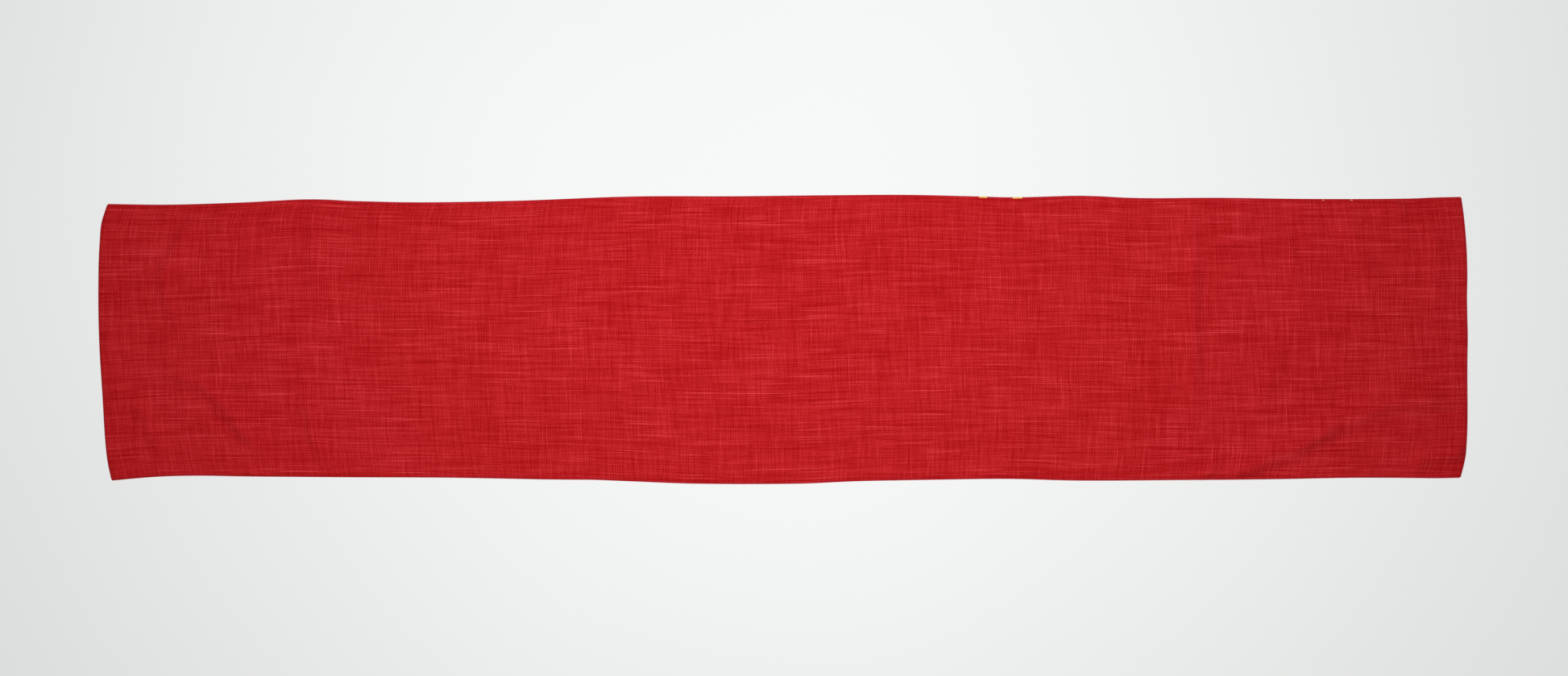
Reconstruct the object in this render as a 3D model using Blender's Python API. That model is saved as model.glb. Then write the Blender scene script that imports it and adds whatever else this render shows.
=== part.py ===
"""A reversible table runner: two cotton panels, sewn face to face and turned right side out.

It lies flat with its length along X and its face panel up, in metres, +Z up. The origin is at the
middle of its outline, on the surface that it lies on.

Each panel is one piece of cloth whose seam allowance is folded in all round, so a cut through an
edge shows two hairpin folds. The seam is rolled a little onto the face, which leaves the backing's
fold as a narrow rim around the face panel:

                 ______________________________ face panel
                (______________________________ its seam allowance
           _____________________________________ seam allowance of the backing
          (_____________________________________ back panel

The lockstitch's needle thread runs inside the face's fold, and its bobbin thread inside the
backing's. A stretch of the rear edge was left open to turn the work through, and is closed by hand.
"""

import math

import bmesh
import bpy

MM = 0.001

# Driving dimensions
LENGTH = 1829 * MM  # 72 in finished
WIDTH = 381 * MM  # 15 in finished
SEAM_ALLOWANCE = 9.5 * MM  # 3/8 in
FACE_CLOTH = 0.45 * MM  # slub weave
BACK_CLOTH = 0.35 * MM  # printed plain weave
FOLD_SPACE = 0.4 * MM  # inside a fold, where the thread runs
LAYER_SPACE = 0.3 * MM  # between one cloth and the next
RIM = 1.8 * MM  # how far the backing's fold stands out beyond the face's
THREAD = 0.2 * MM
STEP_DOWN = 9 * MM  # from the end of the allowances to where the face lies on the backing
CORNER_RADIUS = 3 * MM
TIGHTEST_CORNER = 0.3 * MM
CLIPPED_CORNER = 3 * MM  # what is left of the allowances where the corner was cut off

# The turning gap in the rear edge, and the ladder stitch that closes it
GAP_START = 245 * MM
GAP_END = 385 * MM
LADDER_STEP = 5 * MM
LADDER_INSET = 1.35 * MM
LADDER_SWING = 0.15 * MM

# How far each edge of the laid runner stands out from the true rectangle:
# (share of the half length or half width, millimetres)
REAR_EDGE = (
    (-1.0, -8.5), (-0.96, -10.1), (-0.9, -10.3), (-0.8, -7.5), (-0.7, -3.2), (-0.64, -5.4),
    (-0.54, -7.3), (-0.4, -5.3), (-0.22, 0.6), (-0.08, 0.8), (0.06, 2.1), (0.18, 2.7), (0.28, 0.7),
    (0.34, -0.7), (0.44, 1.5), (0.52, -1.6), (0.64, -1.3), (0.78, -2.8), (0.92, -2.3), (1.0, 0.8),
)
FRONT_EDGE = (
    (-1.0, -0.8), (-0.95, -6.0), (-0.88, -8.4), (-0.8, -7.4), (-0.64, -6.3), (-0.5, -5.8),
    (-0.34, -3.2), (-0.29, -3.0), (-0.24, -1.3), (-0.13, 2.3), (0.02, 2.2), (0.1, -0.9), (0.22, -3.0),
    (0.33, -4.2), (0.43, -1.9), (0.6, -2.7), (0.72, -3.7), (0.85, -5.7), (1.0, -4.8),
)
LEFT_END = (
    (-1.0, -16.9), (-0.9, -13.3), (-0.7, -8.9), (-0.35, -5.0), (-0.1, -1.9), (0.2, 0.0), (0.55, -0.2),
    (0.75, -2.0), (0.88, -4.6), (0.95, -7.5), (1.0, -11.5),
)
RIGHT_END = (
    (-1.0, -9.0), (-0.92, -5.4), (-0.8, -2.1), (-0.6, -0.3), (-0.2, -0.5), (0.0, 0.1), (0.25, -1.0),
    (0.45, -0.5), (0.65, -1.7), (0.85, -5.0), (1.0, -7.9),
)

LONG_STEPS = 56  # faces along each long edge
END_STEPS = 14  # faces along each end
FOLD_STEPS = 4  # faces round a fold
CORNER_STEPS = 2  # faces round a corner

FACE_RED = (0.48, 0.013, 0.017)
BACK_CRIMSON = (0.30, 0.006, 0.014)
THREAD_RED = (0.36, 0.008, 0.014)
CLOTH_ROUGHNESS = 0.9
THREAD_ROUGHNESS = 0.6


def smooth_through(points, at):
    """The height at `at` of a smooth curve through the points, whose slopes each point's neighbours set."""
    slopes = []
    for i in range(len(points)):
        before = points[max(i - 1, 0)]
        after = points[min(i + 1, len(points) - 1)]
        slopes.append((after[1] - before[1]) / (after[0] - before[0]))
    i = max(k for k in range(len(points) - 1) if k == 0 or points[k][0] <= at)
    (x0, y0), (x1, y1) = points[i], points[i + 1]
    step = x1 - x0
    u = min(max((at - x0) / step, 0), 1)
    return (
        (1 + 2 * u) * (1 - u) ** 2 * y0
        + u * (1 - u) ** 2 * step * slopes[i]
        + u * u * (3 - 2 * u) * y1
        + u * u * (u - 1) * step * slopes[i + 1]
    )


def laid(x, y):
    """Where a point of the true rectangle lies once the runner is laid down, with its wavy edges."""
    along = x / (LENGTH / 2)
    across = y / (WIDTH / 2)
    right = smooth_through(RIGHT_END, across) * (1 + along) / 2
    left = smooth_through(LEFT_END, across) * (1 - along) / 2
    rear = smooth_through(REAR_EDGE, along) * (1 + across) / 2
    front = smooth_through(FRONT_EDGE, along) * (1 - across) / 2
    return x + (right - left) * MM, y + (rear - front) * MM


def rectangle_loop(inset, corner_inset):
    """The points of a rounded rectangle inside the runner's own, anticlockwise from its front left. Where an
    allowance is clipped, its corners have an inset of their own."""
    half_length = LENGTH / 2
    half_width = WIDTH / 2
    corner_radius = max(CORNER_RADIUS - corner_inset, TIGHTEST_CORNER)
    arc_x = half_length - corner_inset - corner_radius
    arc_y = half_width - corner_inset - corner_radius
    along = [LENGTH * k / LONG_STEPS - half_length for k in range(1, LONG_STEPS)]
    across = [WIDTH * k / END_STEPS - half_width for k in range(1, END_STEPS)]
    sides = (
        [(x, inset - half_width) for x in along],
        [(half_length - inset, y) for y in across],
        [(x, half_width - inset) for x in reversed(along)],
        [(inset - half_length, y) for y in reversed(across)],
    )
    loop = []
    for quarter, (side, x_sign, y_sign) in enumerate(zip(sides, (1, 1, -1, -1), (-1, 1, 1, -1))):
        loop += side
        for k in range(CORNER_STEPS + 1):
            angle = (quarter - 1 + k / CORNER_STEPS) * math.pi / 2
            loop.append(
                (
                    x_sign * arc_x + corner_radius * math.cos(angle),
                    y_sign * arc_y + corner_radius * math.sin(angle),
                )
            )
    return loop


def fold(edge, underside, cloth):
    """The outside and inside of a hairpin fold: each is (inset, height) from its lower to its upper leg."""
    reach = cloth + FOLD_SPACE / 2
    outside, inside = [], []
    for k in range(FOLD_STEPS + 1):
        angle = math.pi * k / FOLD_STEPS
        for side, radius in ((outside, reach), (inside, FOLD_SPACE / 2)):
            side.append(
                (
                    edge + reach - radius * math.sin(angle),
                    underside + reach - radius * math.cos(angle),
                )
            )
    return outside, inside


def add_object(name, shape, material):
    obj = bpy.data.objects.new(name, shape)
    obj.data.materials.append(material)
    bpy.context.scene.collection.objects.link(obj)
    return obj


def panel(name, rings, material):
    """One cloth as a closed solid. Its rings (inset, height, corner inset) run from its lower middle, round
    its outside to the end of its allowance, and back along its inside to its upper middle."""
    body = bmesh.new()
    loops = []
    for inset, height, corner_inset in rings:
        loops.append([body.verts.new((*laid(x, y), height)) for x, y in rectangle_loop(inset, corner_inset)])
    count = len(loops[0])
    for lower, upper in zip(loops, loops[1:]):
        for i in range(count):
            after = (i + 1) % count
            body.faces.new((lower[i], lower[after], upper[after], upper[i]))
    close_middle(body, loops[0])
    close_middle(body, loops[-1])
    bmesh.ops.recalc_face_normals(body, faces=body.faces)
    mesh = bpy.data.meshes.new(name)
    body.to_mesh(mesh)
    body.free()
    return add_object(name, mesh, material)


def close_middle(body, loop):
    """Fills a panel's flat middle: strips from its front edge to its rear edge, and a face at each end."""
    front = loop[: LONG_STEPS - 1]
    right = LONG_STEPS - 1 + CORNER_STEPS + 1
    rear_start = right + END_STEPS - 1 + CORNER_STEPS + 1
    rear = loop[rear_start : rear_start + LONG_STEPS - 1][::-1]
    for i in range(LONG_STEPS - 2):
        body.faces.new((front[i], front[i + 1], rear[i + 1], rear[i]))
    body.faces.new(loop[LONG_STEPS - 2 : rear_start + 1])
    body.faces.new(loop[rear_start + LONG_STEPS - 2 :] + loop[:1])


def back_panel(material):
    """The backing: it lies on the table, folds up at the edge, and ends between the layers."""
    outside, inside = fold(0, 0, BACK_CLOTH)
    middle = RIM + SEAM_ALLOWANCE + STEP_DOWN
    end = RIM + SEAM_ALLOWANCE
    clipped = RIM + CLIPPED_CORNER
    rings = [(middle, 0, middle)]
    rings += [(inset, height, inset) for inset, height in outside]
    rings += [(end, outside[-1][1], clipped), (end, inside[-1][1], clipped)]
    rings += [(inset, height, inset) for inset, height in reversed(inside)]
    rings.append((middle, inside[0][1], middle))
    return panel("back_panel", rings, material)


def face_underside():
    """The height of the face's seam allowance, which lies on the backing's."""
    return 2 * BACK_CLOTH + FOLD_SPACE + LAYER_SPACE


def face_panel(material):
    """The face: its allowance is folded under, and past the allowances it steps down to the backing."""
    outside, inside = fold(RIM, face_underside(), FACE_CLOTH)
    middle = RIM + SEAM_ALLOWANCE + STEP_DOWN
    end = RIM + SEAM_ALLOWANCE
    clipped = RIM + CLIPPED_CORNER
    lowest = BACK_CLOTH + LAYER_SPACE
    rings = [(middle, lowest, middle), (end, inside[-1][1], end)]
    rings += [(inset, height, inset) for inset, height in reversed(inside)]
    rings += [(end, inside[0][1], clipped), (end, outside[0][1], clipped)]
    rings += [(inset, height, inset) for inset, height in outside]
    rings += [(end, outside[-1][1], end), (middle, lowest + FACE_CLOTH, middle)]
    return panel("face_panel", rings, material)


def thread(name, points, material):
    """A round thread through the points, as one closed tube."""
    curve = bpy.data.curves.new(name, "CURVE")
    curve.dimensions = "3D"
    curve.bevel_depth = THREAD / 2
    curve.bevel_resolution = 1
    curve.use_fill_caps = True
    spline = curve.splines.new("POLY")
    spline.points.add(len(points) - 1)
    for spline_point, (x, y, z) in zip(spline.points, points):
        spline_point.co = (*laid(x, y), z, 1)
    return add_object(name, curve, material)


def seam_line(height):
    """Once round the runner on the stitching line, from the left end of the turning gap to its right end."""
    inset = RIM + FACE_CLOTH + FOLD_SPACE / 2 + THREAD
    loop = rectangle_loop(inset, inset)
    rear = WIDTH / 2 - inset
    in_gap = [i for i, (x, y) in enumerate(loop) if y >= rear and GAP_START <= x <= GAP_END]
    walk = loop[in_gap[-1] + 1 :] + loop[: in_gap[0]]
    return [(x, y, height) for x, y in [(GAP_START, rear), *walk, (GAP_END, rear)]]


def ladder_line():
    """The closing thread's run to and fro across the groove between the rim and the face's fold."""
    steps = round((GAP_END - GAP_START) / LADDER_STEP)
    height = 2 * BACK_CLOTH + FOLD_SPACE + THREAD
    points = []
    for k in range(steps + 1):
        inset = LADDER_INSET + (LADDER_SWING if k % 2 else -LADDER_SWING)
        points.append((GAP_START + k * LADDER_STEP, WIDTH / 2 - inset, height))
    return points


def fabric_material(name, colour, roughness):
    material = bpy.data.materials.new(name)
    material.use_nodes = True
    shader = material.node_tree.nodes["Principled BSDF"]
    shader.inputs["Base Color"].default_value = (*colour, 1)
    shader.inputs["Roughness"].default_value = roughness
    shader.inputs["Metallic"].default_value = 0
    material.diffuse_color = (*colour, 1)
    return material


def main():
    for obj in list(bpy.data.objects):
        bpy.data.objects.remove(obj)
    slub_cotton = fabric_material("slub_cotton", FACE_RED, CLOTH_ROUGHNESS)
    printed_cotton = fabric_material("printed_cotton", BACK_CRIMSON, CLOTH_ROUGHNESS)
    sewing_thread = fabric_material("sewing_thread", THREAD_RED, THREAD_ROUGHNESS)
    back_panel(printed_cotton)
    face_panel(slub_cotton)
    inside_back_fold = BACK_CLOTH + FOLD_SPACE / 2
    inside_face_fold = face_underside() + FACE_CLOTH + FOLD_SPACE / 2
    thread("bobbin_thread", seam_line(inside_back_fold), sewing_thread)
    thread("needle_thread", seam_line(inside_face_fold), sewing_thread)
    thread("closing_thread", ladder_line(), sewing_thread)


main()
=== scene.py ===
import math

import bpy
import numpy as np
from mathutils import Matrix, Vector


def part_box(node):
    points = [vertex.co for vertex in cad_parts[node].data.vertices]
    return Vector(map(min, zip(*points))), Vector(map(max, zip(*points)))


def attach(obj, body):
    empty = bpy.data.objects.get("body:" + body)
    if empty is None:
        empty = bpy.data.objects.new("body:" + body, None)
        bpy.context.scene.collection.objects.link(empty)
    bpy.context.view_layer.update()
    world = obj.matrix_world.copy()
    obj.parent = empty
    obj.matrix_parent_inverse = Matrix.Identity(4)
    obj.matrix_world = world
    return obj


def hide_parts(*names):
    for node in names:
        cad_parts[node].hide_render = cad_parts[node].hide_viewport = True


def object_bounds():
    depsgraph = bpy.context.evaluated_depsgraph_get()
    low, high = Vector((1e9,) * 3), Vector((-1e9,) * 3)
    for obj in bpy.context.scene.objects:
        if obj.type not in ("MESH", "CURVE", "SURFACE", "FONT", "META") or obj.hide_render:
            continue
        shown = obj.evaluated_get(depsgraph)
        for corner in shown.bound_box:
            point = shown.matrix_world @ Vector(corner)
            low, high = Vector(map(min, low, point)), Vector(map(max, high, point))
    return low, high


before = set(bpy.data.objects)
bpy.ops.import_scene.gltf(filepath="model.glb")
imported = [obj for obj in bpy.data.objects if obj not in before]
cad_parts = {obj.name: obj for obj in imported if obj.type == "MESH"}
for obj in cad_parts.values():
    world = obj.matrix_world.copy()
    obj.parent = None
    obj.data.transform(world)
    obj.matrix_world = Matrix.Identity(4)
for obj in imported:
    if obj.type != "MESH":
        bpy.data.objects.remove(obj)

# The looks of the table runner: two cloths laid flat, each one sheet with its seam allowance folded in
# all round, and the threads that join them. The outline comes from the CAD. The relief is a softly
# creased sheet, settled by a cloth simulation, with the sharp crests and puckers added to it. The weave
# and the print are procedural.

CAD_LOW, CAD_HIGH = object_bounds()
MM = 0.001

# Cloth and seam, as in the CAD
FACE_CLOTH = 0.45 * MM
BACK_CLOTH = 0.35 * MM
SEAM_ALLOWANCE = 9.5 * MM
RIM = 1.8 * MM
THREAD = 0.2 * MM
CORNER_RADIUS = 2.3 * MM
TIGHTEST_CORNER = 0.3 * MM
CLIPPED_CORNER = 2.5 * MM
CLIP_SLOPE = 0.7  # how fast a clipped allowance reaches its full depth, going away from its corner

# Reading the CAD's outline
CLOSE = 0.01 * MM  # two places nearer than this count as one
SIDE_BY_SIDE = 0.7 * MM  # nearer than this, of two outline points only the outer one is kept
LEVEL = 1e-6  # points whose reach differs by less than this are equally far out
EDGE_SHARE_READ = 0.985  # of each half edge; the rest is its corner's rounding
EDGE_WAVES = 20 * MM  # the most that an edge strays from the straight line between its corners

# How the pressed layers lie on each other
FOLD_SPACE = 0.16 * MM
LAYER_SPACE = 0.06 * MM
PILLOW = 0.35 * MM  # rise of the face from its fold to the middle of the allowance
PILLOW_REACH = 4 * MM
LOFT = 0.5 * MM  # air between the two cloths inside the allowances
LOFT_REACH = 34 * MM
BACK_FOLLOWS = 0.55  # share of a crease that the backing takes part in
BACK_JOINS = 25 * MM  # from the edge, over this distance, the backing follows the face less and less

# Mesh
LONG_STEPS = 440
END_STEPS = 88
CORNER_STEPS = 5
FOLD_STEPS = 6
MAIN_INSETS = tuple(k * MM for k in (3.0, 4.2, 5.6, 7.5, 10.0, 13.0, 17.0, 22.0))
INNER_ROUNDING = 0.5  # a ring's corner radius, as a share of its inset

# Simulation
SIM_STEP = 8 * MM
SIM_FRAMES = 36
SOFT_SHARE = 0.5  # of each crease's height goes into the simulation, this many times wider
SOFTER = 2.4
RELIEF_STEP = 3 * MM
EDGE_SHARE = 0.35  # of a crease's height that is left at the edge
EDGE_REACH = 10 * MM
FLOOR_CLEARANCE = 1.5 * MM
CONTACT = 1 * MM
GROUND_SIZE = 4

# The two cloths' yarns
FACE_YARN = 0.5 * MM
BACK_YARN = 0.32 * MM
FACE_WANDER = (3.4 * MM, 1.2 * MM)  # of the yarns, along and across
BACK_WANDER = (2 * MM, 1 * MM)
WANDER_LENGTH = 45 * MM
RIB = 3.23 * MM  # pitch of the faint ribs across the face
PAINTED_SHADE_REACH = 5 * MM  # from its fold, over this distance, the face is painted a little darker: painted shade where it rolls down to its fold
FOLD_PALER_FROM = 0.4 * MM  # the fold itself is a little paler, most up to here
FOLD_PALER_TO = 1.5 * MM  # and not at all from here
SLUB_RANGE = (0.64, 0.84)  # how thick a yarn is where it starts to count as a slub, and a full one
YARNS_APART = 3.7  # between two neighbours' places in the noise, so that they have nothing in common

# The backing's print
BLOSSOM_CELL = 96 * MM
BLOSSOM_RADIUS = 24 * MM
SMALLEST = 0.65  # a blossom's radius, as a share of the largest one's
BLOSSOM_MARGIN = 38 * MM  # from the edge to the nearest blossom's middle
EDGE_TURN = 0.3  # of the blossoms that the rear fold cuts, which are (along, inset, radius) in mm
EDGE_BLOSSOMS = ((268.7, 10.7, 13.6), (315.1, 13.4, 17.0), (728.1, 6.2, 5.2), (766.4, 6.7, 5.9))
PETALS = 5
PETAL_DEPTH = 0.4  # of the notches between petals, as a share of the blossom's radius
PETAL_LINE = 0.13  # breadth of the line between petals
EYE = 0.3  # the eye's radius, as a share of the blossom's
PRINT_SOFTNESS = 0.03  # width of a blossom's soft edge, as a share of its radius
LEAF_CELL = 40 * MM
LEAF_LENGTH = 30 * MM
LEAF_WIDTH = 9 * MM
MIDRIB = 0.3 * MM  # half its width, and the width of a leaf's soft edges
MIDRIB_INK = 0.35  # the midrib's share of the leaf's colour
LEAF_MARGIN = 22 * MM  # from the edge to the nearest leaf's middle
VINE = 0.9 * MM  # width of the tendrils that wander along the cloth
VINE_PITCH = 58 * MM
VINE_SWING = 105 * MM
VINE_SIZE = 120 * MM


# ---- The laid outline, from the CAD ----


def outermost_loop():
    """The back panel's outermost points, from the CAD: at mid height, those with no other just outside."""
    low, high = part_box("back_panel")
    points = np.array([v.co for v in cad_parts["back_panel"].data.vertices])
    middle = (low.z + high.z) / 2
    loop = np.unique(points[abs(points[:, 2] - middle) < CLOSE][:, :2].round(7), axis=0)
    gaps = np.linalg.norm(loop[:, None] - loop[None], axis=2)
    reach = abs(loop[:, 0]) / high.x + abs(loop[:, 1]) / high.y
    hidden = (gaps < SIDE_BY_SIDE) & (reach[None] > reach[:, None] + LEVEL)
    return loop[~hidden.any(axis=1)]


def smooth_curve(at, values):
    """A function that runs smoothly through the values, with slopes set by their neighbours."""
    order = np.argsort(at)
    at, values = at[order], values[order]
    slopes = np.gradient(values, at)

    def curve(x):
        i = np.clip(np.searchsorted(at, x) - 1, 0, len(at) - 2)
        step = at[i + 1] - at[i]
        u = np.clip((x - at[i]) / step, 0, 1)
        return (
            (1 + 2 * u) * (1 - u) ** 2 * values[i]
            + u * (1 - u) ** 2 * step * slopes[i]
            + u * u * (3 - 2 * u) * values[i + 1]
            + u * u * (u - 1) * step * slopes[i + 1]
        )

    return curve


def outline_curves():
    """The four edges: rear and front as y by share of the half length, left and right as x by share of
    the half width."""
    loop = outermost_loop()
    corners = {}
    for name, x_sign, y_sign in (("fl", -1, -1), ("fr", 1, -1), ("rr", 1, 1), ("rl", -1, 1)):
        corners[name] = loop[np.argmax(x_sign * loop[:, 0] + y_sign * loop[:, 1])]
    curves = {}
    for name, axis, start, end in (
        ("front", 0, "fl", "fr"),
        ("rear", 0, "rl", "rr"),
        ("left", 1, "fl", "rl"),
        ("right", 1, "fr", "rr"),
    ):
        a, b = corners[start], corners[end]
        share = 2 * (loop[:, axis] - a[axis]) / (b[axis] - a[axis]) - 1
        line = a[1 - axis] + (share + 1) / 2 * (b[1 - axis] - a[1 - axis])
        near = (abs(share) < EDGE_SHARE_READ) & (abs(loop[:, 1 - axis] - line) < EDGE_WAVES)
        ends = np.array([-1.0, 1.0])
        at = np.concatenate([share[near], ends])
        values = np.concatenate([loop[near][:, 1 - axis], [a[1 - axis], b[1 - axis]]])
        curves[name] = smooth_curve(at, values)
    return curves


EDGES = outline_curves()
SHARES = np.linspace(-1, 1, 101)
LENGTH = CAD_HIGH.x - CAD_LOW.x
WIDTH = float(np.mean(EDGES["rear"](SHARES) - EDGES["front"](SHARES)))


def laid(u, v):
    """Where a point (u, v) of the true rectangle lies, with the wavy edges that the CAD has."""
    along = u / (LENGTH / 2)
    across = v / (WIDTH / 2)
    x = EDGES["left"](across) * (1 - along) / 2 + EDGES["right"](across) * (1 + along) / 2
    y = EDGES["front"](along) * (1 - across) / 2 + EDGES["rear"](along) * (1 + across) / 2
    return x, y


def edge_distance(u, v):
    """Distance to the nearest edge, rounded off where two edges are equally near."""
    to_end = np.maximum(LENGTH / 2 - abs(u), CLOSE)
    to_side = np.maximum(WIDTH / 2 - abs(v), CLOSE)
    return (to_end**-4 + to_side**-4) ** -0.25


def ease(t):
    """From 0 to 1 as t does, smoothly, and level beyond."""
    t = np.clip(t, 0, 1)
    return t * t * (3 - 2 * t)


# ---- Creases, and the simulation that settles them ----

# Each is (points along its crest as shares of the half length and half width, height, width; mm). It falls
# steeply to the right of the way that its points run, and gently to the left.
CREASES = (
    # left end
    (((-0.85, 1.02), (-0.885, 0.7), (-0.907, 0.5), (-0.9, 0.3), (-0.88, 0.0)), 2.5, 8),
    (((-0.96, 0.42), (-0.9, 0.43), (-0.83, 0.38)), 1.4, 8),
    (((-1.01, 0.02), (-0.96, -0.05), (-0.945, -0.2)), 1.4, 7),
    (((-0.935, -0.26), (-0.855, -0.32), (-0.82, -0.5), (-0.795, -0.68), (-0.755, -0.92)), 3.6, 9),
    (((-1.02, -0.24), (-0.958, -0.45), (-0.938, -0.6), (-0.908, -1.04)), 2.1, 7.5),
    (((-0.69, 0.97), (-0.689, 0.7), (-0.682, 0.44), (-0.664, 0.1)), 1.9, 9),
    (((-0.7, -0.36), (-0.696, -0.7), (-0.67, -1.0)), 2.7, 8),
    # right end
    (((0.63, -1.04), (0.69, -0.905), (0.757, -0.77), (0.797, -0.66), (0.845, -0.55)), 7.2, 9.5),
    (((0.8, -0.65), (0.84, -0.55), (0.89, -0.475), (1.0, -0.41)), 5.0, 12),
    (((0.605, -1.03), (0.63, -0.94), (0.65, -0.82)), 4.0, 5),
    (((0.915, -0.93), (0.95, -0.875), (1.01, -0.81)), 4.8, 5),
    (((0.632, -1.03), (0.657, -0.94), (0.682, -0.85)), 3.2, 5),
    (((0.91, 0.82), (0.907, 0.92), (0.903, 1.03)), 3.5, 4.5),
    (((0.965, 0.1), (0.959, 0.46), (0.957, 0.85)), 2.2, 7),
    (((0.865, 0.4), (0.848, 0.62), (0.82, 0.86)), 2.0, 8),
    (((0.77, 0.3), (0.75, 0.5), (0.725, 0.8)), 1.7, 9),
    (((0.688, -0.6), (0.72, -0.22), (0.73, 0.1)), 2.3, 9),
    # where it was folded for storage
    (((0.599, -0.7), (0.601, 0.2), (0.602, 1.1)), 3.2, 6),
    (((0.186, 0.3), (0.185, 0.65), (0.187, 1.0)), 1.5, 6),
    (((0.197, -1.0), (0.195, -0.78), (0.196, -0.5)), 1.5, 6),
)
GENTLE = 2.2  # how many times wider the gentle side is
TAPER = 0.3  # share of a crease's run over which it rises from nothing at each end

# Puckers: reach, distance apart and slant in shares of the half width and half length, the rest in mm
PUCKER_SEED = 17
PUCKER_SPAN = 0.97
PUCKER_FOOT = 1.01  # just past the edge
PUCKER_TIP = 0.98  # less its reach
PUCKER_REACH = (0.06, 0.2)
PUCKER_SLANT = 0.5
PUCKERS_APART = (0.03, 0.11)
PUCKER_RISE = (0.5, 1.5)
PUCKER_SPREAD = (4, 6)

# The random swell under it all
SWELL = 0.25 * MM
SWELL_SEED = 5
SWELL_LENGTH = 0.22
SWELL_SIZES = (0.6, 1.6)
SWELL_WAVES = 14


def puckers():
    """Short creases along the front and rear seams, where the sewing drew the cloth in."""
    random = np.random.default_rng(PUCKER_SEED)
    found = []
    for side in (-1, 1):
        u = -PUCKER_SPAN
        while u < PUCKER_SPAN:
            reach = random.uniform(*PUCKER_REACH)
            slant = random.uniform(-PUCKER_SLANT, PUCKER_SLANT) * reach
            tip = (u + slant, side * (PUCKER_TIP - reach))
            foot = (u, side * PUCKER_FOOT)
            points = (foot, tip) if side > 0 else (tip, foot)
            found.append((points, random.uniform(*PUCKER_RISE), random.uniform(*PUCKER_SPREAD)))
            u += random.uniform(*PUCKERS_APART)
    return found


def crease_heights(u, v, widening=1.0):
    """The height that creases and puckers give the cloth, all of them widened as asked."""
    height = np.zeros_like(u)
    for points, rise, spread in (*CREASES, *puckers()):
        line = np.array(points) * (LENGTH / 2, WIDTH / 2)
        nearest = np.full(u.shape, np.inf)
        place = np.zeros_like(u)
        width = np.zeros_like(u)
        steps = np.diff(line, axis=0)
        lengths = np.linalg.norm(steps, axis=1)
        before = 0.0
        for start, step, length in zip(line, steps, lengths):
            du, dv = u - start[0], v - start[1]
            t = np.clip((du * step[0] + dv * step[1]) / length**2, 0, 1)
            away = np.hypot(du - t * step[0], dv - t * step[1])
            to_right = step[0] * dv - step[1] * du < 0
            closer = away < nearest
            nearest = np.where(closer, away, nearest)
            place = np.where(closer, (before + t * length) / lengths.sum(), place)
            width = np.where(closer, np.where(to_right, spread, GENTLE * spread), width)
            before += length
        taper = ease(np.minimum(place, 1 - place) / TAPER)
        profile = np.exp(-((nearest / (width * widening * MM)) ** 2))
        height = np.maximum(height, rise * MM * taper * profile)
    return height


def swell(u, v):
    """A smooth random height, from a few plane waves."""
    random = np.random.default_rng(SWELL_SEED)
    total = np.zeros_like(u)
    for _ in range(SWELL_WAVES):
        angle = random.uniform(0, math.pi)
        size = SWELL_LENGTH * random.uniform(*SWELL_SIZES)
        phase = random.uniform(0, 2 * math.pi)
        total += np.cos(2 * math.pi * (u * math.cos(angle) + v * math.sin(angle)) / size + phase)
    return SWELL * (1 + total / math.sqrt(SWELL_WAVES))


def grid_mesh(name, points, columns, rows):
    """An object from a grid of points."""
    mesh = bpy.data.meshes.new(name)
    index = np.arange(columns * rows).reshape(columns, rows)
    quads = np.stack([index[:-1, :-1], index[1:, :-1], index[1:, 1:], index[:-1, 1:]], axis=-1)
    mesh.from_pydata(points.reshape(-1, 3).tolist(), [], quads.reshape(-1, 4).tolist())
    obj = bpy.data.objects.new(name, mesh)
    bpy.context.scene.collection.objects.link(obj)
    return obj


def settle():
    """The heights of the laid cloth on a coarse grid: softly creased, then dropped onto a floor by the
    simulation."""
    columns = round(LENGTH / SIM_STEP) + 1
    rows = round(WIDTH / SIM_STEP) + 1
    u, v = np.meshgrid(
        np.linspace(-LENGTH / 2, LENGTH / 2, columns),
        np.linspace(-WIDTH / 2, WIDTH / 2, rows),
        indexing="ij",
    )
    x, y = laid(u, v)
    height = SOFT_SHARE * crease_heights(u, v, SOFTER) + swell(u, v)
    start = np.stack([x, y, height + FLOOR_CLEARANCE], axis=-1)
    cloth = grid_mesh("settling_cloth", start, columns, rows)
    bpy.ops.mesh.primitive_plane_add(size=GROUND_SIZE)
    ground = bpy.context.object
    ground.modifiers.new("collision", "COLLISION")
    ground.collision.thickness_outer = CONTACT
    ground.collision.cloth_friction = 30
    simulation = cloth.modifiers.new("settle", "CLOTH")
    fabric = simulation.settings
    fabric.quality = 8
    fabric.mass = 0.15
    fabric.tension_stiffness = 15
    fabric.compression_stiffness = 15
    fabric.shear_stiffness = 10
    fabric.bending_stiffness = 0.6
    fabric.air_damping = 2
    simulation.collision_settings.distance_min = CONTACT
    simulation.collision_settings.collision_quality = 3
    simulation.point_cache.frame_start = 1
    simulation.point_cache.frame_end = SIM_FRAMES
    scene = bpy.context.scene
    for step in range(1, SIM_FRAMES + 1):
        scene.frame_set(step)
    settled = cloth.evaluated_get(bpy.context.evaluated_depsgraph_get()).to_mesh()
    z = np.array([vertex.co.z for vertex in settled.vertices]).reshape(columns, rows)
    for obj in (cloth, ground):
        bpy.data.objects.remove(obj)
    scene.frame_set(1)
    return u[:, 0], v[0], z - z.min()


def cubic_weights(t):
    """The weights of four neighbouring values, for a smooth curve from the second to the third."""
    return np.stack(
        [
            ((2 - t) * t - 1) * t / 2,
            ((3 * t - 5) * t * t + 2) / 2,
            ((4 - 3 * t) * t + 1) * t / 2,
            (t - 1) * t * t / 2,
        ]
    )


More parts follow.
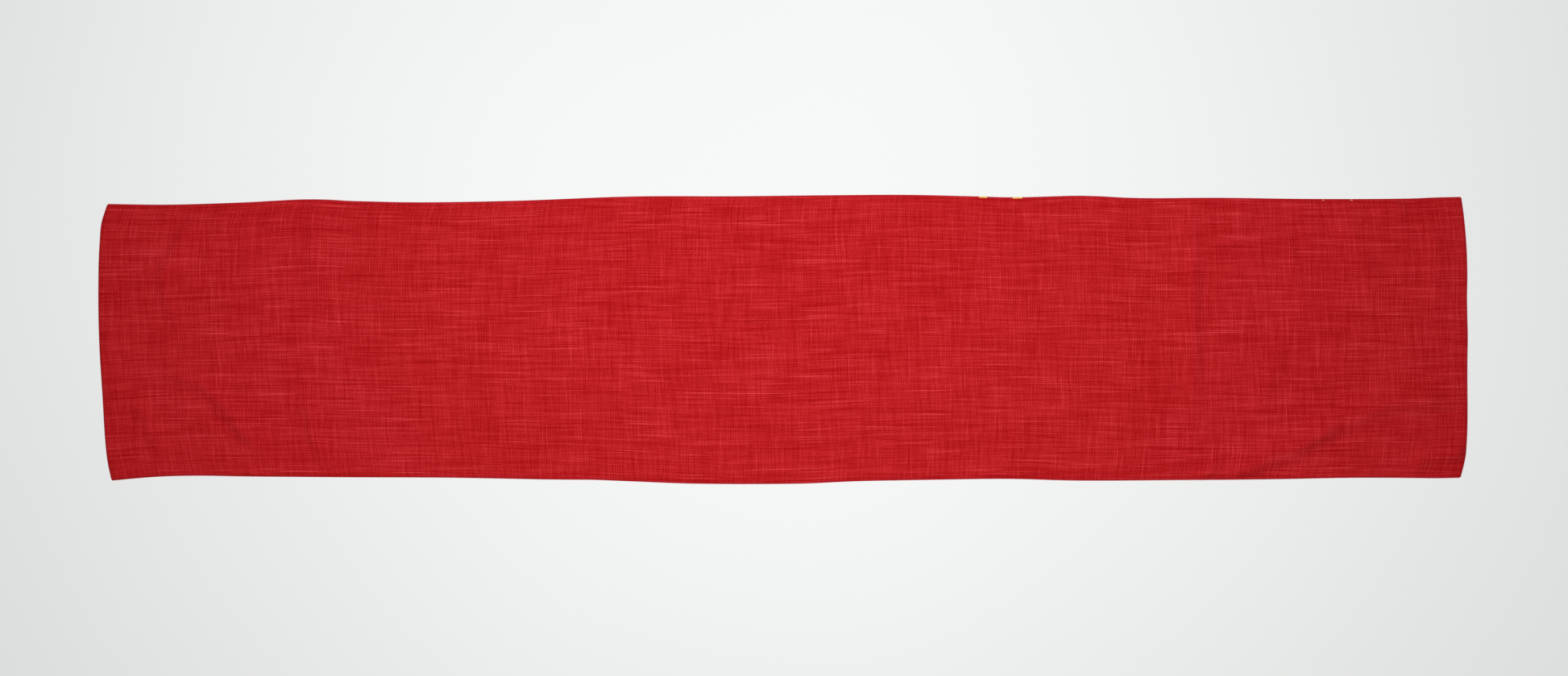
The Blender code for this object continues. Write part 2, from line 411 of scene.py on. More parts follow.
class Relief:
    """Heights on a grid over the true rectangle, smoothly interpolated at any point of it."""

    def __init__(self, u, v, z):
        self.u, self.v, self.z = u, v, z

    def at(self, u, v):
        total = np.zeros_like(u)
        place = []
        for value, axis in ((u, self.u), (v, self.v)):
            s = np.clip((value - axis[0]) / (axis[1] - axis[0]), 0, len(axis) - 1 - 1e-9)
            i = s.astype(int)
            place.append((i, cubic_weights(s - i), len(axis) - 1))
        (iu, wu, last_u), (iv, wv, last_v) = place
        for a in range(4):
            for b in range(4):
                z = self.z[np.clip(iu + a - 1, 0, last_u), np.clip(iv + b - 1, 0, last_v)]
                total += wu[a] * wv[b] * z
        return np.maximum(total, 0)


def laid_relief():
    """The settled cloth with its sharp creases, which are finer than the simulation's grid. They are lower
    at the edge, where the seam holds the cloth flat."""
    axes = [np.linspace(-size / 2, size / 2, round(size / RELIEF_STEP) + 1) for size in (LENGTH, WIDTH)]
    u, v = np.meshgrid(*axes, indexing="ij")
    held = EDGE_SHARE + (1 - EDGE_SHARE) * ease(edge_distance(u, v) / EDGE_REACH)
    return Relief(*axes, Relief(*settle()).at(u, v) + held * crease_heights(u, v))


RELIEF = laid_relief()

# Heights of the layers at the edge, above what the back panel lies on
BACK_ALLOWANCE = BACK_CLOTH + FOLD_SPACE
FACE_ALLOWANCE = BACK_ALLOWANCE + BACK_CLOTH + LAYER_SPACE
FACE_MAIN = FACE_ALLOWANCE + FACE_CLOTH + FOLD_SPACE


def back_base(u, v):
    """Height of the back panel's underside."""
    share = BACK_FOLLOWS + (1 - BACK_FOLLOWS) * (1 - ease(edge_distance(u, v) / BACK_JOINS))
    return RELIEF.at(u, v) * share


def face_rise(inset):
    """Height of the face's underside above the relief, from its fold inwards."""
    pillow = PILLOW * (1 - np.exp(-np.maximum(inset - RIM, 0) / PILLOW_REACH))
    fall = ease((inset - RIM - SEAM_ALLOWANCE) / LOFT_REACH)
    return (FACE_MAIN + pillow) * (1 - fall) + (BACK_CLOTH + LOFT) * fall


# ---- The two panels ----


def ring(inset, clip=None, radius=None):
    """The points (u, v) at an inset from the outline, all round from the front left. A clipped ring
    runs out towards the corners, where the allowance was cut off."""
    corner = inset if clip is None else clip
    radius = max(CORNER_RADIUS - corner, TIGHTEST_CORNER) if radius is None else radius
    reach = (LENGTH / 2 - corner - radius, WIDTH / 2 - corner - radius)
    sides = []
    for steps, half in ((LONG_STEPS, 0), (END_STEPS, 1), (LONG_STEPS, 0), (END_STEPS, 1)):
        share = np.linspace(-1, 1, steps + 1)[1:-1]
        depth = np.minimum(inset, corner + CLIP_SLOPE * (1 - abs(share)) * reach[half])
        sides.append((share * reach[half], depth))
    arc = np.arange(CORNER_STEPS + 1) / CORNER_STEPS
    (front, front_in), (right, right_in), (rear, rear_in), (left, left_in) = sides
    parts = [
        (front, front_in - WIDTH / 2),
        (LENGTH / 2 - right_in, right),
        (-rear, WIDTH / 2 - rear_in),
        (left_in - LENGTH / 2, -left),
    ]
    u, v = [], []
    for quarter, (pu, pv) in enumerate(parts):
        angle = (quarter - 1 + arc) * math.pi / 2
        u_sign, v_sign = ((1, -1), (1, 1), (-1, 1), (-1, -1))[quarter]
        u += [pu, u_sign * reach[0] + radius * np.cos(angle)]
        v += [pv, v_sign * reach[1] + radius * np.sin(angle)]
    return np.concatenate(u), np.concatenate(v)


def main_ring(inset):
    """A ring of a cloth's whole layer, whose corners get rounder inwards."""
    return ring(inset, radius=max(CORNER_RADIUS - inset, INNER_ROUNDING * inset, TIGHTEST_CORNER))


def middle_grid():
    """The points (u, v) of the flat middle, inside the innermost ring."""
    inset = MAIN_INSETS[-1] * (1 + INNER_ROUNDING)
    reach_u = LENGTH / 2 - inset
    reach_v = WIDTH / 2 - inset
    return np.meshgrid(
        np.linspace(-reach_u, reach_u, LONG_STEPS + 1)[1:-1],
        np.linspace(-reach_v, reach_v, END_STEPS + 1)[1:-1],
        indexing="ij",
    )


def fold_profile(edge, underside, cloth):
    """Outside and inside of a hairpin fold, as (inset, height) from its lower leg to its upper leg."""
    reach = cloth + FOLD_SPACE / 2
    angles = np.pi * np.arange(FOLD_STEPS + 1) / FOLD_STEPS
    sides = []
    for radius in (reach, FOLD_SPACE / 2):
        insets = edge + reach - radius * np.sin(angles)
        heights = underside + reach - radius * np.cos(angles)
        sides.append(list(zip(insets, heights)))
    return sides


class Shell:
    """A closed mesh from two gridded middles joined by rings round the folds."""

    def __init__(self, name):
        self.name = name
        self.points = []
        self.flats = []
        self.insets = []
        self.faces = []
        self.count = 0
        self.last_ring = None

    def add(self, u, v, z):
        x, y = laid(u, v)
        self.points.append(np.stack([x, y, z], axis=-1).reshape(-1, 3))
        self.flats.append(np.stack([u, v, np.zeros_like(u)], axis=-1).reshape(-1, 3))
        self.insets.append(edge_distance(u, v).ravel())
        start = self.count
        self.count += u.size
        return np.arange(start, self.count).reshape(u.shape)

    def add_ring(self, u, v, z):
        index = self.add(u, v, z)
        if self.last_ring is not None:
            lower, upper = self.last_ring, index
            self.faces += np.stack(
                [lower, np.roll(lower, -1), np.roll(upper, -1), upper], axis=-1
            ).tolist()
        self.last_ring = index

    def add_middle(self, u, v, z, flip):
        """Joins a grid to the latest ring. Flip turns its faces over, for the second of the two."""
        faces = []
        grid = self.add(u, v, z)
        faces += np.stack(
            [grid[:-1, :-1], grid[:-1, 1:], grid[1:, 1:], grid[1:, :-1]], axis=-1
        ).reshape(-1, 4).tolist()
        border = (grid[:, 0], grid[-1, :], grid[::-1, -1], grid[0, ::-1])
        ring_index = self.last_ring
        start = 0
        for side in border:
            end = start + len(side)
            outer = ring_index[start:end]
            faces += np.stack([outer[1:], outer[:-1], side[:-1], side[1:]], axis=-1).tolist()
            corner = ring_index[end - 1 : end + CORNER_STEPS + 1].tolist()
            corner.append(int(ring_index[(end + CORNER_STEPS + 1) % len(ring_index)]))
            faces += [[b, a, int(side[-1])] for a, b in zip(corner, corner[1:])]
            start = end + CORNER_STEPS + 1
        if flip:
            faces = [face[::-1] for face in faces]
        self.faces += faces

    def finish(self, material):
        """The object, whose points also hold their place on the flat cloth and their inset."""
        mesh = bpy.data.meshes.new(self.name)
        mesh.from_pydata(np.concatenate(self.points).tolist(), [], self.faces)
        flat = mesh.attributes.new("flat", "FLOAT_VECTOR", "POINT")
        flat.data.foreach_set("vector", np.concatenate(self.flats).ravel())
        inset = mesh.attributes.new("inset", "FLOAT", "POINT")
        inset.data.foreach_set("value", np.concatenate(self.insets))
        mesh.validate()
        mesh.polygons.foreach_set("use_smooth", [True] * len(mesh.polygons))
        obj = bpy.data.objects.new(self.name, mesh)
        bpy.context.scene.collection.objects.link(obj)
        mesh.materials.append(material)
        return obj


def back_cloth(material):
    """The backing, from its lower face out round the fold, in over its allowance and back out under it."""
    shell = Shell("back_cloth")
    outside, inside = fold_profile(0, 0, BACK_CLOTH)
    outwards = MAIN_INSETS[::-1]
    end = RIM + SEAM_ALLOWANCE
    clipped = RIM + CLIPPED_CORNER

    def leg(insets, rise):
        for inset in insets:
            u, v = main_ring(inset)
            shell.add_ring(u, v, back_base(u, v) + rise)

    def turn(profile):
        for inset, height in profile:
            u, v = ring(inset)
            shell.add_ring(u, v, RELIEF.at(u, v) + height)

    u, v = middle_grid()
    leg(outwards[:1], 0)
    shell.add_middle(u, v, back_base(u, v), False)
    leg(outwards[1:], 0)
    turn(outside)
    for height in (outside[-1][1], inside[-1][1]):
        u, v = ring(end, clipped)
        shell.add_ring(u, v, RELIEF.at(u, v) + height)
    turn(inside[::-1])
    leg(MAIN_INSETS, BACK_CLOTH)
    u, v = middle_grid()
    shell.add_middle(u, v, back_base(u, v) + BACK_CLOTH, True)
    return shell.finish(material)


def face_cloth(material):
    """The face, from its lower face out to the fold, in over and out under its allowance, and round it."""
    shell = Shell("face_cloth")
    outside, inside = fold_profile(RIM, FACE_ALLOWANCE, FACE_CLOTH)
    outwards = MAIN_INSETS[::-1]
    end = RIM + SEAM_ALLOWANCE
    clipped = RIM + CLIPPED_CORNER

    def surface(u, v, rise):
        return RELIEF.at(u, v) + face_rise(edge_distance(u, v)) + rise

    def leg(insets, rise):
        for inset in insets:
            u, v = main_ring(inset)
            shell.add_ring(u, v, surface(u, v, rise))

    def turn(profile):
        for inset, height in profile:
            u, v = ring(inset)
            shell.add_ring(u, v, RELIEF.at(u, v) + height)

    u, v = middle_grid()
    leg(outwards[:1], 0)
    shell.add_middle(u, v, surface(u, v, 0), False)
    leg(outwards[1:], 0)
    turn(inside[::-1])
    for height in (inside[0][1], outside[0][1]):
        u, v = ring(end, clipped)
        shell.add_ring(u, v, RELIEF.at(u, v) + height)
    turn(outside)
    leg(MAIN_INSETS, FACE_CLOTH)
    u, v = middle_grid()
    shell.add_middle(u, v, surface(u, v, FACE_CLOTH), True)
    return shell.finish(material)


# ---- Materials ----


def linear(*srgb):
    """A colour given in the usual 0 to 255 scale, as the renderer's linear values."""
    values = [c / 255 for c in srgb]
    return tuple(c / 12.92 if c <= 0.04045 else ((c + 0.055) / 1.055) ** 2.4 for c in values) + (1.0,)


class Shading:
    """One material's nodes. Each method adds the nodes for one thing and returns their output."""

    def __init__(self, name, roughness, specular, sheen=0.0):
        self.material = bpy.data.materials.new(name)
        self.material.use_nodes = True
        self.nodes = self.material.node_tree.nodes
        self.links = self.material.node_tree.links
        self.shader = self.nodes["Principled BSDF"]
        self.shader.inputs["Roughness"].default_value = roughness
        self.shader.inputs["Specular IOR Level"].default_value = specular
        self.shader.inputs["Sheen Weight"].default_value = sheen
        self.where = None

    def node(self, kind, inputs=(), **settings):
        node = self.nodes.new("ShaderNode" + kind)
        for key, value in settings.items():
            setattr(node, key, value)
        for key, value in dict(inputs).items():
            self.feed(node.inputs[key], value)
        return node

    def feed(self, socket, value):
        if isinstance(value, bpy.types.NodeSocket):
            self.links.new(value, socket)
        else:
            socket.default_value = value

    def math(self, operation, a, b=0.0, c=0.0):
        return self.node("Math", {0: a, 1: b, 2: c}, operation=operation).outputs[0]

    def vector_math(self, operation, *values):
        return self.node("VectorMath", enumerate(values), operation=operation).outputs[0]

    def place(self):
        """The point on the object or, once the material follows the cloth, on its flat pattern."""
        return self.where or self.node("TexCoord").outputs["Object"]

    def follow_cloth(self, wander, wavelength):
        """From here on, places are those of the flat cloth, so that its yarns run along the seams, and
        wander a little."""
        self.where = self.node("Attribute", attribute_name="flat").outputs["Vector"]
        sizes = (wavelength, wavelength, 1.0)
        drift = self.node("TexNoise", {"Vector": self.stretched(sizes), "Scale": 1.0, "Detail": 1.0})
        centred = self.vector_math("SUBTRACT", drift.outputs["Color"], (0.5, 0.5, 0.5))
        self.where = self.vector_math("MULTIPLY_ADD", centred, (*wander, 0.0), self.where)

    def parts(self, vector):
        """The x, y and z of a vector, or the three channels of a colour."""
        return self.node("SeparateXYZ", {"Vector": vector}).outputs

    def stretched(self, sizes, offset=(0.0, 0.0, 0.0)):
        """The place on the cloth, in units of the sizes given in metres."""
        scale = tuple(1 / s for s in sizes)
        mapping = self.node("Mapping", {"Vector": self.place(), "Scale": scale, "Location": offset})
        return mapping.outputs[0]

    def noise(self, sizes, offset=(0.0, 0.0, 0.0), detail=0.0, roughness=0.5):
        """Smooth noise of the given sizes in metres, from 0 to 1. The offset keeps two of them apart."""
        inputs = {"Vector": self.stretched(sizes, offset), "Scale": 1.0}
        inputs |= {"Detail": detail, "Roughness": roughness}
        return self.node("TexNoise", inputs).outputs[0]

    def yarns(self, axis, pitch, length, seed, detail=0.6):
        """Yarns along one axis, each with its own thick and thin stretches, from 0 to 1."""
        parts = self.parts(self.place())
        run = self.math("MULTIPLY", parts[axis], 1 / length)
        number = self.math("FLOOR", self.math("MULTIPLY", parts[1 - axis], 1 / pitch))
        row = self.math("MULTIPLY_ADD", number, YARNS_APART, seed)
        place = self.node("CombineXYZ", {0: run, 1: row, 2: seed}).outputs[0]
        return self.node("TexNoise", {"Vector": place, "Scale": 1.0, "Detail": detail}).outputs[0]

    def ribs(self, pitch, drift):
        """Ribs across the cloth at an even pitch that drifts a little, from -1 to 1."""
        x = self.parts(self.place())[0]
        turns = self.math("MULTIPLY", x, 2 * math.pi / pitch)
        wander = self.noise((drift, 4 * drift, 1.0), (2.2, 4.4, 14.5))
        return self.math("SINE", self.math("MULTIPLY_ADD", wander, 2 * math.pi, turns))

    def plain_weave(self, pitch):
        """Single yarns passing over and under each other, from -1 to 1."""
        parts = self.parts(self.place())
        waves = [self.math("SINE", self.math("MULTIPLY", parts[i], math.pi / pitch)) for i in (0, 1)]
        return self.math("MULTIPLY", *waves)

    def spread(self, value, low, high, to_low=0.0, to_high=1.0):
        """The value, rescaled from one range to another and held to the latter."""
        inputs = {"Value": value, "From Min": low, "From Max": high, "To Min": to_low, "To Max": to_high}
        return self.node("MapRange", inputs).outputs[0]

    def ramp(self, value, stops):
        node = self.node("ValToRGB", {"Fac": value})
        elements = node.color_ramp.elements
        while len(elements) < len(stops):
            elements.new(0.5)
        for element, (position, colour) in zip(elements, stops):
            element.position = position
            element.color = colour
        return node.outputs["Color"]

    def mix(self, share, a, b):
        node = self.node("Mix", data_type="RGBA")
        self.feed(node.inputs[0], share)
        self.feed(node.inputs[6], a)
        self.feed(node.inputs[7], b)
        return node.outputs[2]

    def weighted(self, *terms):
        """0.5, and each (value - 0.5) times its weight."""
        total = 0.5
        for value, weight in terms:
            total = self.math("MULTIPLY_ADD", self.math("SUBTRACT", value, 0.5), weight, total)
        return total

    def plus(self, total, *terms):
        """The total, and each value times its weight."""
        for value, weight in terms:
            total = self.math("MULTIPLY_ADD", value, weight, total)
        return total

    def bump(self, height, distance, strength):
        inputs = {"Height": height, "Distance": distance, "Strength": strength}
        self.links.new(self.node("Bump", inputs).outputs[0], self.shader.inputs["Normal"])


def slub_material():
    """Red cotton of uneven yarns: long streaks along the cloth, shorter ones across it, and faint ribs."""
    cloth = Shading("slub_cotton", 0.92, 0.04)
    cloth.follow_cloth(FACE_WANDER, WANDER_LENGTH)
    along = cloth.yarns(0, 0.6 * MM, 60 * MM, 0.37)
    slubs = cloth.spread(cloth.yarns(0, 0.9 * MM, 80 * MM, 3.13, 0.0), *SLUB_RANGE)
    across = cloth.yarns(1, 0.6 * MM, 40 * MM, 6.61)
    thick = cloth.spread(cloth.yarns(1, 0.8 * MM, 46 * MM, 9.21, 0.0), *SLUB_RANGE)
    specks = cloth.noise((1.0 * MM, 0.8 * MM, 1.0), (0.4, 0.9, 8.5))
    cloudy = cloth.noise((60 * MM, 24 * MM, 1.0), (0.0, 0.0, 10.5), detail=1.5)
    patches = cloth.spread(cloth.noise((40 * MM, 30 * MM, 1.0), (0.7, 0.2, 12.5)), 0.35, 0.65)
    ribs = cloth.math("MULTIPLY", cloth.ribs(RIB, 40 * MM), patches)
    crossings = cloth.plain_weave(FACE_YARN)
    inset = cloth.node("Attribute", attribute_name="inset").outputs["Fac"]
    # Painted shade: the face is darker near its fold, where it rolls down away from the light.
    painted_fold_shade = cloth.spread(inset, RIM, RIM + PAINTED_SHADE_REACH, 1.0, 0.0)
    # The fold is a little paler in colour, most at its outer edge.
    fold_paler = cloth.spread(inset, RIM + FOLD_PALER_FROM, RIM + FOLD_PALER_TO, 1.0, 0.0)
    tone = cloth.weighted((along, 0.87), (across, 0.62), (specks, 0.42), (cloudy, 0.13))
    # The weave's crossings in the tone are painted shade between the yarns and painted light on their tops.
    tone = cloth.plus(tone, (slubs, 0.34), (thick, 0.21), (ribs, 0.06), (crossings, 0.05))
    tone = cloth.plus(tone, (painted_fold_shade, -0.08), (fold_paler, 0.14))
    colour = cloth.ramp(
        tone,
        (
            (0.0, linear(146, 4, 6)),
            (0.3, linear(167, 13, 17)),
            (0.41, linear(177, 22, 26)),
            (0.5, linear(184, 27, 31)),
            (0.59, linear(191, 33, 38)),
            (0.75, linear(203, 44, 49)),
            (1.0, linear(222, 68, 74)),
        ),
    )
    cloth.feed(cloth.shader.inputs["Base Color"], colour)
    height = cloth.plus(cloth.weighted((along, 1.0), (across, 1.0), (specks, 0.5)), (crossings, 0.5))
    cloth.bump(height, 0.25 * MM, 0.4)
    return cloth.material


def cells(cloth, size, seed, randomness):
    """Scattered points about one size apart. For the nearest: the way from it (x, y), its own place (x, y),
    and three random numbers."""
    shift = (seed, 1.7 * seed, 0.0)
    scaled = cloth.stretched((size, size, 1.0), shift)
    inputs = {"Vector": scaled, "Scale": 1.0, "Randomness": randomness}
    nearest = cloth.node("TexVoronoi", inputs, voronoi_dimensions="2D").outputs
    place = cloth.parts(nearest["Position"])
    here = cloth.parts(scaled)
    way = [cloth.math("MULTIPLY", cloth.math("SUBTRACT", here[i], place[i]), size) for i in (0, 1)]
    point = [cloth.math("MULTIPLY", cloth.math("SUBTRACT", place[i], shift[i]), size) for i in (0, 1)]
    return way, point, cloth.parts(nearest["Color"])


def polar(cloth, way):
    """Distance and angle."""
    x, y = way
    squares = cloth.math("MULTIPLY_ADD", x, x, cloth.math("MULTIPLY", y, y))
    return cloth.math("SQRT", squares), cloth.math("ARCTAN2", y, x)


def blossom(cloth, way, radius, turn):
    """A gold flower of five notched petals round a dark eye: how much it covers, and its colour."""
    away, angle = polar(cloth, way)
    away = cloth.math("DIVIDE", away, radius)
    angle = cloth.math("ADD", angle, turn)
    lobes = cloth.math("ABSOLUTE", cloth.math("SINE", cloth.math("MULTIPLY", angle, PETALS / 2)))
    reach = cloth.math("MULTIPLY_ADD", cloth.math("POWER", lobes, 0.5), PETAL_DEPTH, 1 - PETAL_DEPTH)
    cover = cloth.spread(cloth.math("SUBTRACT", reach, away), 0.0, PRINT_SOFTNESS)
    petals = cloth.ramp(
        away,
        (
            (0.12, linear(226, 170, 84)),
            (0.16, linear(120, 22, 20)),
            (0.27, linear(150, 34, 22)),
            (0.32, linear(206, 104, 34)),
            (0.55, linear(226, 168, 62)),
            (0.95, linear(236, 204, 116)),
        ),
    )
    between = cloth.math("LESS_THAN", lobes, PETAL_LINE)
    beyond_eye = cloth.math("GREATER_THAN", away, EYE)
    lines = cloth.math("MULTIPLY", between, beyond_eye)
    return cover, cloth.mix(lines, petals, linear(176, 60, 30))


def leaf(cloth, way, turn):
    """How much a pointed leaf with a paler midrib covers."""
    away, angle = polar(cloth, way)
    angle = cloth.math("ADD", angle, turn)
    along = cloth.math("MULTIPLY", away, cloth.math("COSINE", angle))
    side = cloth.math("ABSOLUTE", cloth.math("MULTIPLY", away, cloth.math("SINE", angle)))
    share = cloth.math("DIVIDE", along, LEAF_LENGTH / 2)
    squared = cloth.math("MULTIPLY", share, share)
    breadth = cloth.math("MULTIPLY_ADD", squared, -LEAF_WIDTH / 2, LEAF_WIDTH / 2)
    inside = cloth.spread(cloth.math("SUBTRACT", breadth, side), 0.0, MIDRIB)
    return cloth.math("MULTIPLY", inside, cloth.spread(side, MIDRIB, 2 * MIDRIB, MIDRIB_INK, 1.0))


def within(cloth, cover, place, margin):
    """The cover, with nothing where the place is nearer than the margin to an edge."""
    for along, half in zip(place, (LENGTH / 2, WIDTH / 2)):
        inside = cloth.math("LESS_THAN", cloth.math("ABSOLUTE", along), half - margin)
        cover = cloth.math("MULTIPLY", cover, inside)
    return cover


def tendrils(cloth, here):
    """How much the tendrils cover. They wander along the cloth in rows, and end before its edges."""
    wander = cloth.noise((VINE_SIZE, VINE_SIZE, 1.0), (8.0, 3.0, 7.5), detail=1.0)
    across = cloth.math("MULTIPLY_ADD", wander, VINE_SWING, here[1])
    row = cloth.math("FRACT", cloth.math("MULTIPLY", across, 1 / VINE_PITCH))
    off_row = cloth.math("ABSOLUTE", cloth.math("SUBTRACT", row, 0.5))
    off_line = cloth.math("MULTIPLY", off_row, VINE_PITCH)
    for along, half in zip(here, (LENGTH / 2, WIDTH / 2)):
        from_middle = cloth.math("ABSOLUTE", along)
        thinning = cloth.spread(from_middle, half - LEAF_LENGTH, half - RIM, 0.0, 2 * VINE)
        off_line = cloth.math("ADD", off_line, thinning)
    return cloth.spread(off_line, VINE / 2, VINE, 1.0, 0.0)


def print_material():
    """Crimson cotton, printed with tonal leaves and tendrils and gold blossoms in its field. A few more
    blossoms stand so near the rear edge that the fold cuts them, and they show on the rim."""
    cloth = Shading("printed_cotton", 0.9, 0.08)
    cloth.follow_cloth(BACK_WANDER, WANDER_LENGTH)
    weave = cloth.weighted(
        (cloth.yarns(0, 0.4 * MM, 30 * MM, 1.3), 0.6),
        (cloth.yarns(1, 0.4 * MM, 30 * MM, 4.7), 0.6),
        (cloth.noise((120 * MM, 90 * MM, 1.0), (1.0, 2.0, 5.5), detail=2.0), 0.4),
    )
    colour = cloth.ramp(
        weave,
        ((0.2, linear(163, 18, 31)), (0.5, linear(184, 28, 40)), (0.8, linear(201, 40, 50))),
    )
    plum = cloth.ramp(weave, ((0.2, linear(116, 9, 24)), (0.8, linear(146, 17, 36))))
    here = cloth.parts(cloth.place())

    way, point, chance = cells(cloth, LEAF_CELL, 3.3, 0.8)
    leaves = leaf(cloth, way, cloth.math("MULTIPLY", chance[0], 2 * math.pi))
    leaves = within(cloth, leaves, point, LEAF_MARGIN)
    colour = cloth.mix(cloth.math("MAXIMUM", leaves, tendrils(cloth, here)), colour, plum)

    way, point, chance = cells(cloth, BLOSSOM_CELL, 5.2, 0.55)
    radius = cloth.spread(chance[1], 0.0, 1.0, SMALLEST * BLOSSOM_RADIUS, BLOSSOM_RADIUS)
    cover, gold = blossom(cloth, way, radius, cloth.math("MULTIPLY", chance[0], 2 * math.pi))
    colour = cloth.mix(within(cloth, cover, point, BLOSSOM_MARGIN), colour, gold)

    for x, inset, radius in EDGE_BLOSSOMS:
        y = WIDTH / 2 - inset * MM
        way = [cloth.math("SUBTRACT", here[0], x * MM), cloth.math("SUBTRACT", here[1], y)]
        cover, gold = blossom(cloth, way, radius * MM, EDGE_TURN)
        colour = cloth.mix(cover, colour, gold)

    cloth.feed(cloth.shader.inputs["Base Color"], colour)
    cloth.bump(cloth.plus(weave, (cloth.plain_weave(BACK_YARN), 0.6)), 0.12 * MM, 0.5)
    return cloth.material


def thread_material():
    """Spun red sewing thread."""
    thread = Shading("sewing_thread", 0.55, 0.25)
    fuzz = thread.noise((1.5 * THREAD,) * 3, detail=1.0)
    thread.feed(
        thread.shader.inputs["Base Color"],
        thread.ramp(fuzz, ((0.3, linear(130, 14, 26)), (0.7, linear(172, 28, 42)))),
    )
    thread.bump(fuzz, 0.03 * MM, 0.4)
    return thread.material


# ---- Threads ----

STITCH = 2.8 * MM
STEPS_PER_STITCH = 4
GAP_START, GAP_END = (corner.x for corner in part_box("closing_thread"))
GAP_CENTRE = (GAP_START + GAP_END) / 2
GAP_HALF = (GAP_END - GAP_START) / 2
LADDER_STEP = 5 * MM
LADDER_IN_BACK = 1.1 * MM  # inset of the thread inside the backing's fold
LADDER_ON_RIM = 1.25 * MM  # and where it crosses the rim
LADDER_OFF_FACE = 0.1 * MM  # how far outside the face's fold it goes in
LADDER_SHIFTS = (-0.3, -0.1, 0.1, 0.3)  # along the edge, of the points of one crossing, in mm


def thread_curve(name, u, v, z, material):
    """A round thread through the points (u, v, height above the relief)."""
    x, y = laid(u, v)
    height = RELIEF.at(u, v) + z
    curve = bpy.data.curves.new(name, "CURVE")
    curve.dimensions = "3D"
    curve.bevel_depth = THREAD / 2
    curve.bevel_resolution = 1
    curve.use_fill_caps = True
    spline = curve.splines.new("POLY")
    spline.points.add(len(u) - 1)
    spline.points.foreach_set("co", np.stack([x, y, height, np.ones_like(x)], axis=-1).ravel())
    obj = bpy.data.objects.new(name, curve)
    bpy.context.scene.collection.objects.link(obj)
    curve.materials.append(material)
    return obj


def seam_path(inset):
    """Points (u, v) every quarter stitch along the seam, from one end of the turning gap round to the
    other."""
    u, v = ring(inset)
    turned = int(np.argmin(abs(u - GAP_CENTRE) + abs(v - (WIDTH / 2 - inset))))
    u, v = np.roll(u, -turned), np.roll(v, -turned)
    run = np.concatenate([[0], np.cumsum(np.hypot(np.diff(u), np.diff(v)))])
    at = np.arange(GAP_HALF, run[-1] - GAP_HALF, STITCH / STEPS_PER_STITCH)
    return np.interp(at, run, u), np.interp(at, run, v)


def lockstitch(name, height, dip, material):
    """One thread of the seam: it runs along its cloth's inside and dips to meet the other at each stitch."""
    inset = RIM + FACE_CLOTH + FOLD_SPACE / 2 + THREAD
    u, v = seam_path(inset)
    z = np.full(len(u), height)
    z[::STEPS_PER_STITCH] += dip
    return thread_curve(name, u, v, z, material)


def ladder_stitch(material):
    """The closing thread: inside one fold for a stitch, across to the other fold, and inside that."""
    count = round(2 * GAP_HALF / LADDER_STEP)
    in_back = (LADDER_IN_BACK, BACK_CLOTH + FOLD_SPACE / 2)
    in_face = (RIM + FACE_CLOTH + FOLD_SPACE / 2, FACE_ALLOWANCE + FACE_CLOTH + FOLD_SPACE / 2)
    on_rim = (LADDER_ON_RIM, BACK_ALLOWANCE + BACK_CLOTH + THREAD / 2)
    on_fold = (RIM - LADDER_OFF_FACE, FACE_ALLOWANCE + FACE_CLOTH)
    points = []
    for k in range(count + 1):
        u = GAP_CENTRE - GAP_HALF + k * LADDER_STEP
        crossing = (in_back, on_rim, on_fold, in_face)
        if k % 2:
            crossing = crossing[::-1]
        for shift, (inset, height) in zip(LADDER_SHIFTS, crossing):
            points.append((u + shift * MM, WIDTH / 2 - inset, height))
    u, v, z = np.array(points).T
    return thread_curve("closing_stitches", u, v, z, material)


# ---- Stage ----

FLOOR_SIZE = 16
FLOOR_DROP = 0.05 * MM  # below the cloth, so that the two don't share a plane
FLOOR_GLOW = 0.435  # the bright studio round it, which the lights here don't give the floor
SOFTBOX_SIZE = (1.5, 1.2)
SOFTBOX_POWER = 26.4
SOFTBOX_PLACE = (0.0, 0.2, 1.5)
SOFTBOX_TILT = -6
SURROUNDINGS = 0.19
LENS = 85
VIEW_WIDTH = 2.0946  # of the floor that the camera sees
VIEW_CENTRE = (1.2 * MM, 1.9 * MM)


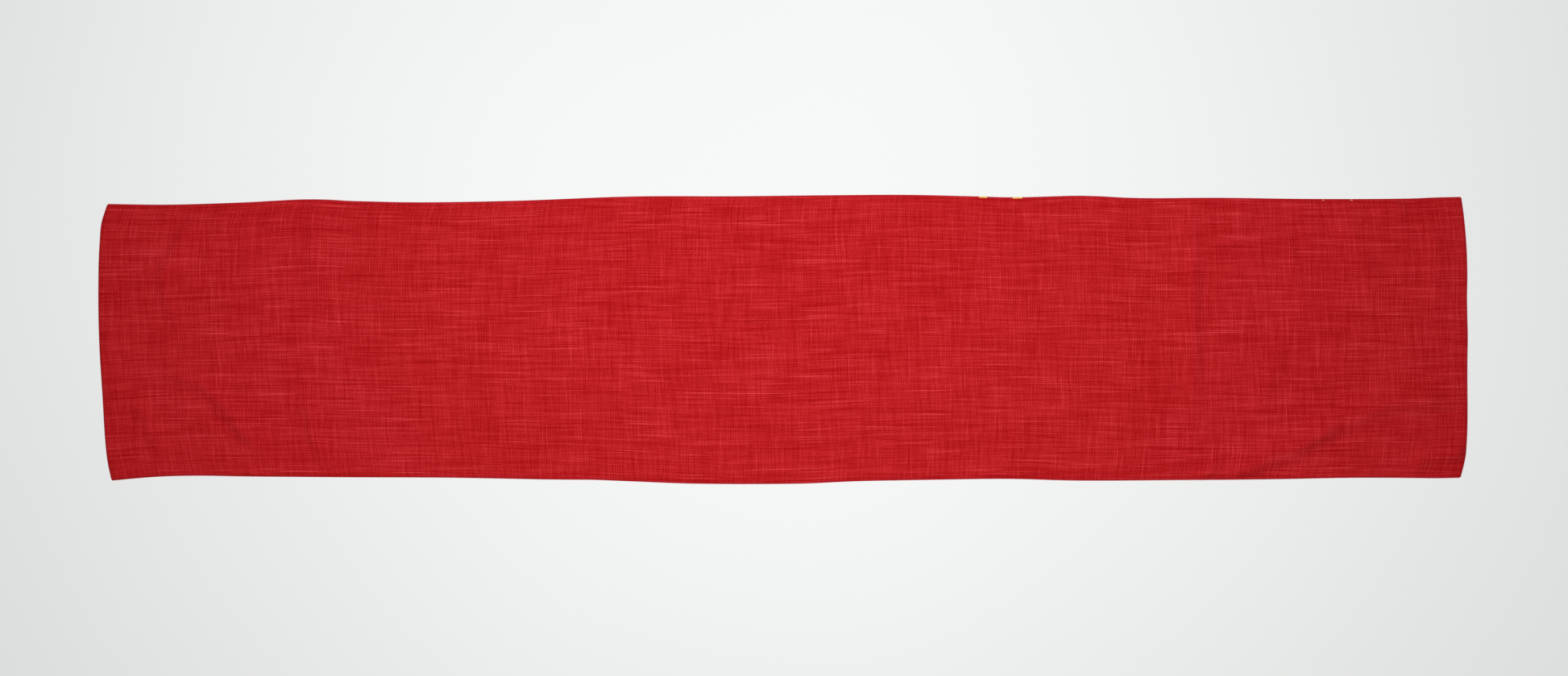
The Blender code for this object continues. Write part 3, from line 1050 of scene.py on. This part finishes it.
def pale_floor():
    bpy.ops.mesh.primitive_plane_add(size=FLOOR_SIZE, location=(0, 0, -FLOOR_DROP))
    floor = bpy.context.object
    floor.name = "floor"
    paper = Shading("pale_floor", 0.9, 0.1)
    mottle = paper.noise((0.9, 0.9, 0.9), detail=1.0)
    tone = paper.ramp(mottle, ((0.3, linear(177, 178.5, 177.5)), (0.7, linear(181, 182.5, 181.5))))
    paper.feed(paper.shader.inputs["Base Color"], tone)
    paper.shader.inputs["Emission Color"].default_value = (0.985, 1.0, 0.99, 1.0)
    paper.shader.inputs["Emission Strength"].default_value = FLOOR_GLOW
    floor.data.materials.append(paper.material)


def soft_light():
    """A large softbox overhead, and a little light from all round."""
    light = bpy.data.lights.new("softbox", "AREA")
    light.shape = "RECTANGLE"
    light.size, light.size_y = SOFTBOX_SIZE
    light.energy = SOFTBOX_POWER
    lamp = bpy.data.objects.new("softbox", light)
    lamp.location = SOFTBOX_PLACE
    lamp.rotation_euler = (math.radians(SOFTBOX_TILT), 0, 0)
    lamp.visible_camera = False
    bpy.context.scene.collection.objects.link(lamp)
    world = bpy.data.worlds.new("studio")
    world.use_nodes = True
    background = world.node_tree.nodes["Background"]
    background.inputs["Color"].default_value = (0.96, 0.98, 1.0, 1.0)
    background.inputs["Strength"].default_value = SURROUNDINGS
    bpy.context.scene.world = world
    bpy.context.scene.view_settings.view_transform = "Standard"


def camera_overhead():
    lens = bpy.data.cameras.new("camera")
    lens.lens = LENS
    lens.sensor_width = 36
    lens.clip_end = 50
    camera = bpy.data.objects.new("camera", lens)
    camera.location = (*VIEW_CENTRE, VIEW_WIDTH * lens.lens / lens.sensor_width)
    bpy.context.scene.collection.objects.link(camera)
    bpy.context.scene.camera = camera


def main():
    pale_floor()
    soft_light()
    camera_overhead()
    slub = slub_material()
    printed = print_material()
    red_thread = thread_material()
    face = face_cloth(slub)
    back = back_cloth(printed)
    in_face = FACE_ALLOWANCE + FACE_CLOTH + FOLD_SPACE / 2
    in_back = BACK_CLOTH + FOLD_SPACE / 2
    meet = FACE_ALLOWANCE - LAYER_SPACE / 2
    needle = lockstitch("needle_stitches", in_face, meet - in_face, red_thread)
    bobbin = lockstitch("bobbin_stitches", in_back, meet - in_back, red_thread)
    closing = ladder_stitch(red_thread)
    for piece, node in (
        (face, "face_panel"),
        (back, "back_panel"),
        (needle, "needle_thread"),
        (bobbin, "bobbin_thread"),
        (closing, "closing_thread"),
    ):
        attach(piece, "root")
        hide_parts(node)


main()
